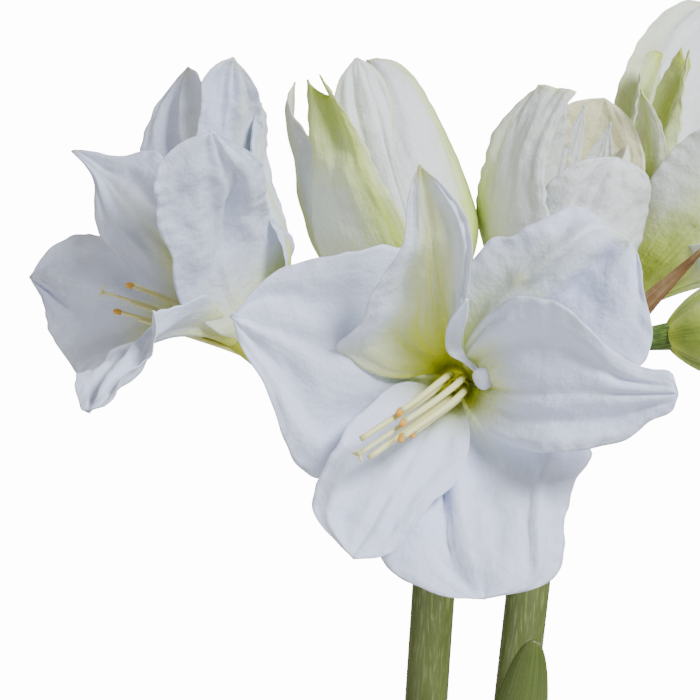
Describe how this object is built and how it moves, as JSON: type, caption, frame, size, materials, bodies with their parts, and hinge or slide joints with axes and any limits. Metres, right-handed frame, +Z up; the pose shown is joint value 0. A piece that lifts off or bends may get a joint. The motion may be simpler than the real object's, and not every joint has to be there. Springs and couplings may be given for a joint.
{
  "type": "amaryllis in a pot",
  "caption": "White amaryllis in flower and bud on leafless stems that rise with strap leaves from a bulb in a plain round pot of soil.",
  "frame": {"origin": "middle of the pot's flat foot, on the surface that it stands on", "axes": "+Z up along the stems; the largest bloom faces -Y; +X to the viewer's right"},
  "size_m": [0.3516, 0.2725, 0.6909],
  "materials": {
    "pot_glaze": "satin white glaze",
    "soil": "crumbly peat and bark",
    "bulb_skin": "dry papery skin on a firm bulb",
    "scape_green": "smooth waxy stem with fine pale streaks",
    "leaf_green": "smooth glossy leaf",
    "petal_white": "soft matte white petal",
    "bud_white": "soft matte green white petal",
    "bud_green": "soft matte green bud",
    "stamen_cream": "smooth pale filament",
    "spathe_brown": "dry papery brown"
  },
  "bodies": {
    "root": {"pot": "pot_glaze", "soil": "soil", "bulb": "bulb_skin", "scape_left": "scape_green", "scape_right": "scape_green", "spathe_left": "spathe_brown", "spathe_right": "spathe_brown", "leaf_front_right": "leaf_green", "leaf_front_left": "leaf_green", "leaf_left": "leaf_green", "leaf_back_right": "leaf_green", "leaf_back_left": "leaf_green", "leaf_right": "leaf_green", "bloom_front": "petal_white", "bloom_left": "petal_white", "bloom_half_open_left": "bud_white", "bloom_half_open_middle": "bud_white", "bloom_upper_right": "bud_white", "bud_right": "bud_green", "stamens_front": "stamen_cream", "stamens_left": "stamen_cream", "stamens_half_open_middle": "stamen_cream", "stamens_upper_right": "stamen_cream"}
  },
  "joints": []
}
